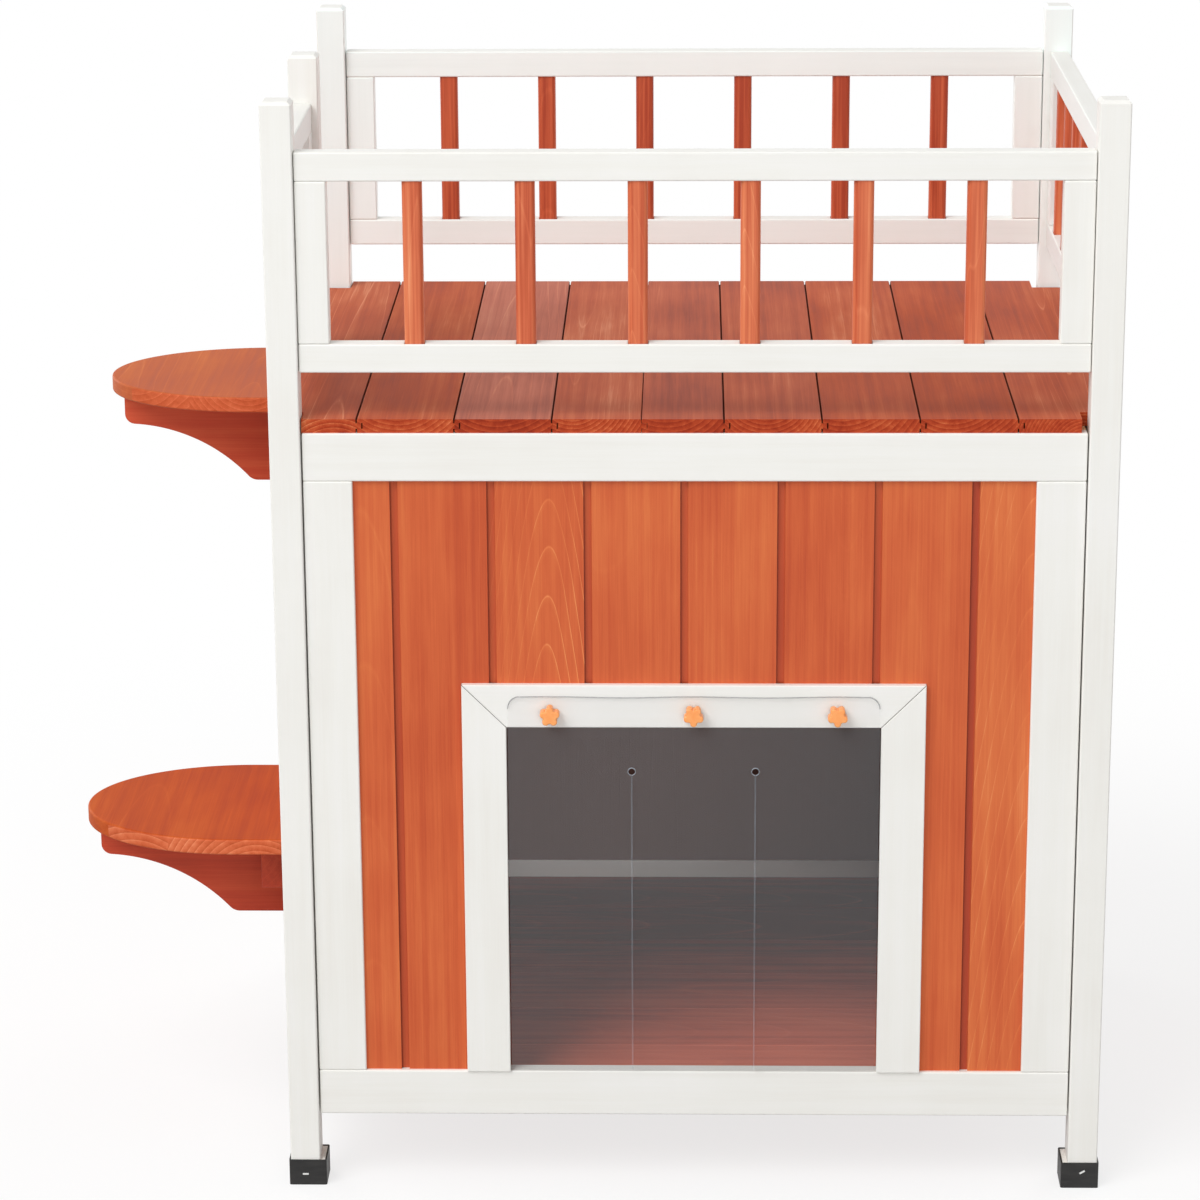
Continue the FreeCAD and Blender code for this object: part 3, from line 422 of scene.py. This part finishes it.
def sheet_blank():
    """The whole sheet, flat and without thickness: rounded at the top, punched and slit."""
    blank = bmesh.new()
    middle = Vector((SHEET_MIDDLE, SHEET_FRONT, (SHEET_LOW + SHEET_HIGH) / 2))
    wide, tall = SHEET_HALF - EDGE_RIM, (SHEET_HIGH - SHEET_LOW) / 2 - EDGE_RIM
    upright = Matrix.Rotation(math.radians(90), 4, "X")
    stood_up = Matrix.Translation(middle) @ upright
    bmesh.ops.create_grid(blank, x_segments=1, y_segments=1, size=1.0, matrix=stood_up)
    bmesh.ops.scale(blank, vec=(wide, 1, tall), verts=blank.verts[:], space=Matrix.Translation(-middle))
    upper = [v for v in blank.verts if v.co.z > BEND]
    bmesh.ops.bevel(blank, geom=upper, offset=CORNER, segments=CORNER_STEPS, profile=0.5,
                    affect="VERTICES", material=-1)
    bmesh.ops.delete(blank, geom=blank.faces[:], context="FACES_ONLY")
    long_edges = [e for e in blank.edges if e.calc_length() > SHEET_HALF]
    top = [e for e in long_edges if all(v.co.z > BEND for v in e.verts)]
    bmesh.ops.subdivide_edges(blank, edges=top, cuts=EDGE_PARTS - 1)
    crest = max(v.co.z for v in blank.verts)
    for v in blank.verts:
        if v.co.z > crest - NEAR:
            v.co.z += EDGE_WAVE * (math.cos(math.tau * (v.co.x - SHEET_MIDDLE) / KNOB_PITCH) - 1)
    outline = blank.edges[:]
    holes = [(-CUT_AT, BEND, RELIEF), (CUT_AT, BEND, RELIEF)]
    holes += [(offset * KNOB_PITCH, KNOB_HEIGHT, BOLT_HOLE) for offset in (-1, 0, 1)]
    loops = []
    for x, z, radius in holes:
        centre = Vector((SHEET_MIDDLE + x, SHEET_FRONT, z))
        ring = bmesh.ops.create_circle(blank, cap_ends=False, segments=HOLE_SIDES, radius=radius + HOLE_RIM,
                                       matrix=Matrix.Translation(centre) @ upright)["verts"]
        loops.append((list({e for v in ring for e in v.link_edges}), centre, radius / (radius + HOLE_RIM)))
    bmesh.ops.triangle_fill(blank, edges=blank.edges[:], use_beauty=True, normal=(0, -1, 0))
    for edges, centre, share in loops:
        rim(blank, edges, centre, (share, 1, share), CUT)
    rim(blank, outline, middle, (1 + EDGE_RIM / wide, 1, 1 + EDGE_RIM / tall), EDGE)
    cuts = [((0, 0, BEND - step * BEND_LENGTH / BEND_STEPS), (0, 0, 1)) for step in range(BEND_STEPS + 1)]
    cuts += [((SHEET_MIDDLE + side * CUT_AT + edge, 0, 0), (1, 0, 0)) for side in (-1, 1)
             for edge in (-CUT_HALF - CUT_RIM, -CUT_HALF, CUT_HALF, CUT_HALF + CUT_RIM)]
    for point, normal in cuts:
        everything = blank.verts[:] + blank.edges[:] + blank.faces[:]
        bmesh.ops.bisect_plane(blank, geom=everything, dist=NEAR / 10, plane_co=point, plane_no=normal)
    below = [f for f in blank.faces if f.calc_center_median().z < BEND]
    from_cut = {f: abs(abs(f.calc_center_median().x - SHEET_MIDDLE) - CUT_AT) for f in below}
    for face, gap in from_cut.items():
        if gap < CUT_HALF + CUT_RIM:
            face.material_index = CUT
    bmesh.ops.delete(blank, geom=[f for f, gap in from_cut.items() if gap < CUT_HALF], context="FACES")
    bmesh.ops.recalc_face_normals(blank, faces=blank.faces[:])
    if sum(f.normal.y for f in blank.faces) > 0:
        bmesh.ops.reverse_faces(blank, faces=blank.faces[:])
    return blank


def sheet_piece(blank, name, inside):
    """One part of the sheet, given its thickness."""
    part = blank.copy()
    outside = [f for f in part.faces if not inside(f.calc_center_median())]
    bmesh.ops.delete(part, geom=outside, context="FACES")
    bmesh.ops.solidify(part, geom=part.faces[:], thickness=SHEET_BACK - SHEET_FRONT)
    for face in part.faces:
        if all(abs(v.co.z - BEND) < NEAR for v in face.verts):
            face.material_index = JOINT_FACE
        elif face.material_index == EDGE and face.calc_center_median().z < DOOR_TOP:
            face.material_index = CLEAR
    mesh = bpy.data.meshes.new(name)
    part.to_mesh(mesh)
    part.free()
    piece = bpy.data.objects.new(name, mesh)
    bpy.context.scene.collection.objects.link(piece)
    for material in (clear_pvc, cut_pvc, joint_pvc, edge_pvc):
        mesh.materials.append(material)
    return piece


blank = sheet_blank()
header = sheet_piece(blank, "flap_sheet_top", lambda at: at.z > BEND)
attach(header, "house")
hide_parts("flap_header")
strips = {
    "left": lambda at: at.z < BEND and at.x < SHEET_MIDDLE - CUT_AT,
    "middle": lambda at: at.z < BEND and abs(at.x - SHEET_MIDDLE) < CUT_AT,
    "right": lambda at: at.z < BEND and at.x > SHEET_MIDDLE + CUT_AT,
}
for side, inside in strips.items():
    strip = sheet_piece(blank, f"flap_sheet_{side}", inside)
    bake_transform(strip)
    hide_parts(f"flap_strip_{side}")
blank.free()

# Thumb knobs: five-lobed flowers moulded in light orange plastic, one on each bolt.
# They screw down on the sheet and clamp it to the head.
knob_orange = [(0.3, shown(253, 158, 84)), (0.7, shown(255, 172, 102))]
MOULD_FLOW = [260, 260, 260]  # per metre
knob_plastic, place = new_finish("knob_plastic")
flow = mottle(place, MOULD_FLOW, 2)
bump = place.node("Bump", {}, {"Strength": 0.1, "Distance": 0.0003, "Height": flow})
sockets = {"Base Color": ramp(flow + 0.5, knob_orange), "Roughness": flow * 0.2 + 0.4, "Normal": bump}
close_finish(place, sockets)
give(knob_plastic, "knob_left", "knob_middle", "knob_right")

# Floor: stained boards laid from side to side, on battens of plain softwood fixed to the wall frames.
# They are seen through the flap, and away from the doorway they are painted darker: painted shade where
# little light comes in through the doorway.
floor_stain = [(0.0, shown(112, 56, 44)), (0.2, shown(170, 74, 53)), (0.38, shown(202, 96, 70)),
               (0.55, shown(214, 108, 80)), (0.75, shown(224, 122, 92)), (0.95, shown(234, 142, 112))]
plain_wood = [(0.2, shown(206, 170, 120)), (0.5, shown(222, 190, 142)), (0.8, shown(234, 206, 164))]
FLOOR_COVER, FLOOR_START, FLOOR_MIDDLE, FLOOR_SEED = 0.0717, -0.21095, 0.0715, 53.0
DEEP_SHADE_FROM, FULL_SHADE_FROM, DEEP_SHADE_BY = -0.12, 0.1, 0.42
BATTEN_PITCH, BATTEN_MIDDLE = 0.1, 0.06
floor_boards, place = new_finish("floor_board_stain")
depth = ways(place)["y"]
run = (depth - FLOOR_START) / FLOOR_COVER
board = run - run % 1.0
centre = (board + 0.5) * FLOOR_COVER + FLOOR_START
tone, lines = softwood(place, "x", "y", board, centre, FLOOR_MIDDLE, FLOOR_SEED)[:2]
# painted shade: the boards are darker towards the back of the room, down to the lowest stop
painted_deep_shade = eased(depth, DEEP_SHADE_FROM, FULL_SHADE_FROM)
stained_wood(place, stain(tone - painted_deep_shade * DEEP_SHADE_BY, lines, floor_stain), tone, lines)
give(floor_boards, "floor_boards")
for batten, grain, width, seed in (("floor_battens", "y", "x", 61.0), ("deck_battens", "x", "y", 67.0)):
    plain, place = new_finish(f"{batten}_wood")
    row = ways(place)[width] / BATTEN_PITCH
    board = row - row % 1.0
    centre = (board + 0.5) * BATTEN_PITCH
    tone, lines = softwood(place, grain, width, board, centre, BATTEN_MIDDLE, seed)[:2]
    stained_wood(place, stain(tone, lines, plain_wood, share=-0.2), tone, lines)
    give(plain, batten)

# Deck: tongue-and-groove boards from front to back, nailed down on the walls and battens.
# The stain is weathered and a little dull on top, some tops are paler, partly dried stain and partly painted
# sheen, and the end grain drinks it darker.
deck_stain = [(0.1, shown(138, 50, 26)), (0.35, shown(165, 69, 36)), (0.52, shown(179, 80, 44)),
              (0.72, shown(192, 97, 60)), (0.95, shown(214, 134, 98))]
end_stain = [(0.1, shown(130, 40, 22)), (0.35, shown(160, 56, 30)), (0.52, shown(180, 70, 38)),
             (0.72, shown(200, 96, 56)), (0.95, shown(226, 140, 94))]
DECK_EDGES = [-0.2219, -0.1594, -0.0904, -0.0214, 0.0416, 0.1001, 0.1691, 0.2381, 0.3071, 0.3741]
DECK_FIGURE = [1.0, 0.25, 1.3, 0.7, 0.4, 0.6, 0.3, 0.3, 1.0]
DECK_DRIED_AND_SHEEN = [0.05, 0.0, 0.34, 0.08, 0.14, 0.1, 0.02, 0.0, 0.04]
JOINT, JOINT_REACH, JOINT_TOP, JOINT_SHADE = 0.001, 0.001, 0.58755, 0.75
DECK_MIDDLE, DECK_SEED, DECK_TONE_SEED = 0.583, 71.0, 7.0
dried_and_sheen_stain, joint_dirt_and_shade = shown(208, 152, 136), shown(52, 18, 12)
deck_centres = [(low + high) / 2 for low, high in zip(DECK_EDGES, DECK_EDGES[1:])]
deck_boards, place = new_finish("deck_board_stain")
way = ways(place)
board = stepped(way["x"], DECK_EDGES[1:-1], range(len(deck_centres)))
centre = stepped(way["x"], DECK_EDGES[1:-1], deck_centres)
# the gaps between the boards are darkened below their top: dirt and painted shade in the gaps
joint = way["x"] * 0.0
for edge in DECK_EDGES[1:-1]:
    joint = joint + (abs(way["x"] - edge + JOINT / 2) < JOINT_REACH)
joint = joint * (way["z"] < JOINT_TOP) * JOINT_SHADE
figure = stepped(way["x"], DECK_EDGES[1:-1], DECK_FIGURE)
tone, lines, season, cut = softwood(place, "y", "x", board, centre, DECK_MIDDLE, DECK_SEED,
                                    tight=1.9, tilt=0.03, figure=figure)
coat = place.node("TexWhiteNoise", {"noise_dimensions": "1D"}, {"W": board + DECK_TONE_SEED}) - 0.5
top_colour = stain(tone * 1.4 + coat * 0.2, lines, deck_stain, share=0.34)
# some boards' tops are paled: partly dried stain and partly painted sheen
dried_and_sheen = stepped(way["x"], DECK_EDGES[1:-1], DECK_DRIED_AND_SHEEN) * (tone * 2.0 + 1.0)
top_colour = mixed(dried_and_sheen, top_colour, dried_and_sheen_stain)
end_colour = stain(tone * 1.1 + (season - 0.6) * 0.26, lines, end_stain, share=0.22)
colour = mixed(cut, mixed(joint, top_colour, joint_dirt_and_shade), end_colour)
stained_wood(place, colour, tone, lines, gloss=0.08, dry=joint * 0.4)
give(deck_boards, "deck_boards")

# Railings: painted rails and stiles that stand between the posts, a little back from their faces.
# Grain runs along the rails and up the stiles, also where one piece holds both.
give(paint_for["x"], "front_railing_lower_rail", "front_railing_upper_rail")
give(paint_for["z"], "front_railing_stiles")
RAIL_LOW_TOP, RAIL_HIGH_BOTTOM = 0.6425, 0.758
for side, grain, across, inward in (("back", "x", "y", -1), ("right", "y", "x", -1), ("left", "y", "x", 1)):
    frame_paint, place = new_finish(f"{side}_railing_paint")
    height = ways(place)["z"]
    stile = (height > RAIL_LOW_TOP) * (height < RAIL_HIGH_BOTTOM)
    tone = paint_tone(place, "z") * stile + paint_tone(place, grain) * (1 - stile)
    # faces towards the deck, not outward faces or tops, get the cooler white: painted light against the
    # deck's pink bounce
    outward = (facing(place, across) * inward) < -SQUARE_ON
    level = abs(facing(place, "z")) > SQUARE_ON
    white_paint(place, tone, (1 - outward) * (1 - level))
    give(frame_paint, f"{side}_railing_frame")

# Balusters: round-edged bars let into sockets in the rails, stained like the boards.
# Each is its own stick, so the grain and tone change from one to the next.
baluster_stain = [(0.1, shown(170, 66, 38)), (0.35, shown(197, 90, 55)), (0.52, shown(212, 108, 70)),
                  (0.72, shown(224, 126, 84)), (0.95, shown(240, 152, 108))]
BALUSTER_FIBRE = (6, 420)  # along and across the grain, per metre
# way along the rail, start of the first bay, pitch, middle of the thickness, seed, coat
baluster_rows = {
    "front": ("x", -0.1568, 0.0784, -0.2159, 83.0, 0.0),
    "back": ("x", -0.1568, 0.0784, 0.2241, 97.0, -0.26),
    "right": ("y", -0.1837, 0.0626, 0.3684, 103.0, -0.1),
    "left": ("y", -0.1639, 0.05, -0.2116, 109.0, -0.1),
}
for side, (width, start, pitch, middle, seed, coat) in baluster_rows.items():
    sticks, place = new_finish(f"{side}_baluster_stain")
    run = (ways(place)[width] - start) / pitch
    stick = run - run % 1.0
    centre = (stick + 0.5) * pitch + start
    tone, lines = softwood(place, "z", width, stick, centre, middle, seed, tight=1.6)[:2]
    hair = mottle(place, along_grain("z", *BALUSTER_FIBRE), 3, seed)
    stained_wood(place, stain(tone + hair + coat, lines, baluster_stain, share=0.2), tone, lines)
    give(sticks, f"{side}_balusters")

# Jump steps: a shelf with an oval end on a coved bracket, both held by a cleat on the wall.
# The shelves' grain runs from front to back, so their straight front edges show end grain.
step_stain = [(0.1, shown(164, 61, 26)), (0.35, shown(181, 75, 33)), (0.52, shown(193, 87, 40)),
              (0.72, shown(206, 104, 51)), (0.95, shown(224, 134, 78))]
step_end_stain = [(0.1, shown(172, 68, 38)), (0.35, shown(196, 90, 54)), (0.52, shown(210, 104, 66)),
                  (0.72, shown(222, 122, 82)), (0.95, shown(236, 150, 110))]
bracket_stain = [(0.1, shown(156, 50, 29)), (0.35, shown(180, 62, 37)), (0.52, shown(194, 70, 42)),
                 (0.72, shown(206, 84, 52)), (0.95, shown(220, 106, 68))]
# a pale colour that the upper shelf's top is mixed towards: painted sheen
painted_sheen_colour = shown(192, 138, 108)
PLANK_JOINT, PLANK_PITCH, PLANK_HALF = -0.31, 0.09, 0.04
BRACKET_BELOW, BRACKET_MIDDLE = 0.04, -0.1
CLEAT_BELOW, CLEAT_MIDDLE = 0.02, -0.23
# middle of the shelf's thickness, seed, coat of its top and painted sheen on it, depth of its end rings,
# bracket's coat
steps = {
    "lower_step": (0.255, 121.0, -0.06, 0.0, 0.32, -0.05),
    "upper_step": (0.537, 127.0, 0.06, 0.18, 0.16, 0.25),
}
for step, (middle, seed, coat, painted_sheen, ring_depth, bracket_coat) in steps.items():
    shelf, place = new_finish(f"{step}_shelf_stain")
    board = ways(place)["x"] > PLANK_JOINT
    centre = board * PLANK_PITCH + PLANK_JOINT - PLANK_HALF
    tone, lines, season, cut = softwood(place, "y", "x", board, centre, middle, seed, tight=1.4, tilt=0.1)
    top_colour = mixed(board * 0.0 + painted_sheen, stain(tone + coat, lines, step_stain), painted_sheen_colour)
    end_tone = tone * 0.9 + (season - 0.5) * ring_depth
    end_colour = stain(end_tone, lines, step_end_stain, share=ring_depth)
    stained_wood(place, mixed(cut, top_colour, end_colour), tone, lines, gloss=0.06)
    give(shelf, f"{step}_shelf")
    bracket, place = new_finish(f"{step}_bracket_stain")
    board = ways(place)["x"] * 0.0
    tone, lines = softwood(place, "x", "z", board, middle - BRACKET_BELOW, BRACKET_MIDDLE, seed + 2.0)[:2]
    stained_wood(place, stain(tone + bracket_coat, lines, bracket_stain, share=0.1), tone, lines)
    give(bracket, f"{step}_bracket")
    cleat, place = new_finish(f"{step}_cleat_stain")
    board = ways(place)["x"] * 0.0
    tone, lines = softwood(place, "y", "z", board, middle - CLEAT_BELOW, CLEAT_MIDDLE, seed + 4.0)[:2]
    stained_wood(place, stain(tone, lines, bracket_stain, share=0.3), tone, lines)
    give(cleat, f"{step}_cleat")

# Studio: a pale floor that goes to white round the house, and soft lamps in front of it and behind.
# The camera looks down on the deck from the front, as the photograph does.
GROUND_HALF, SHADOW_TO, WHITE_FROM, WHITE_NEAR = 30, 0.4, 1.3, 0.75
BOUNCE_GREY, SEEN_GREY = grey(0.5), grey(0.93)
SKY_LIGHT = 0.4
scene = bpy.context.scene
ground = bmesh.new()
bmesh.ops.create_grid(ground, x_segments=1, y_segments=1, size=GROUND_HALF)
floor_mesh = bpy.data.meshes.new("studio_floor")
ground.to_mesh(floor_mesh)
ground.free()
floor = bpy.data.objects.new("studio_floor", floor_mesh)
scene.collection.objects.link(floor)
floor_white, place = new_finish("studio_white")
seen = place.node("LightPath", {}, {}, "Is Camera Ray")
seen = seen + seen.beside("Is Glossy Ray") + seen.beside("Is Transmission Ray")
away = place.node("VectorMath", {"operation": "LENGTH"}, {0: place}, "Value")
far = eased(away, SHADOW_TO, WHITE_FROM, WHITE_NEAR, 1.0)
seen = place.maths("MINIMUM", seen, 1.0)
matt = place.node("BsdfDiffuse", {}, {"Color": mixed(seen, BOUNCE_GREY, SEEN_GREY)})
white = place.node("Emission", {}, {"Color": grey(1.0), "Strength": 1.0})
surface = place.node("MixShader", {}, {0: seen * far, 1: matt, 2: white})
place.node("OutputMaterial", {}, {"Surface": surface})
floor_mesh.materials.append(floor_white)

world = bpy.data.worlds.new("studio")
scene.world = world
world.use_nodes = True
world.node_tree.nodes.clear()
path = Wire(world.node_tree, None).node("LightPath", {}, {}, "Is Camera Ray")
mirrored = path.beside("Is Glossy Ray") + path.beside("Is Transmission Ray")
open_view = path.maths("MINIMUM", path + mirrored, 1.0)
sky = path.node("Background", {}, {"Color": grey(1.0), "Strength": open_view * (1 - SKY_LIGHT) + SKY_LIGHT})
path.node("OutputWorld", {}, {"Surface": sky})

LAMPS_AIM = Vector((0.05, 0.0, 0.4))
# place, side and power in watts
lamps = {
    "key": ((-3.0, -3.6, 5.2), 4.2, 318.0),
    "fill": ((1.2, -5.3, 1.1), 2.6, 62.0),
    "back_left": ((-3.3, 3.6, 1.3), 2.4, 78.0),
    "back_right": ((3.4, 3.6, 1.3), 2.4, 78.0),
}
for name, (spot, side, power) in lamps.items():
    data = bpy.data.lights.new(f"{name}_lamp", "AREA")
    data.size = side
    data.energy = power
    lamp = bpy.data.objects.new(f"{name}_lamp", data)
    lamp.location = spot
    lamp.rotation_euler = (LAMPS_AIM - Vector(spot)).to_track_quat("-Z", "Y").to_euler()
    scene.collection.objects.link(lamp)

view = bpy.data.cameras.new("view")
view.sensor_width = 36.0
view.lens = 118.8
view.clip_end = 100.0
camera = bpy.data.objects.new("view", view)
CAMERA_AT = (0.0757, -2.926, 1.277)
LOOK_DOWN, LOOK_LEFT, ROLL = 16.9, 1.36, -0.34
aim = Euler((math.radians(90 - LOOK_DOWN), 0, math.radians(LOOK_LEFT))).to_matrix().to_4x4()
roll = Matrix.Rotation(math.radians(ROLL), 4, "Z")
camera.matrix_world = Matrix.Translation(CAMERA_AT) @ aim @ roll
scene.collection.objects.link(camera)
scene.camera = camera
scene.view_settings.view_transform = "Standard"
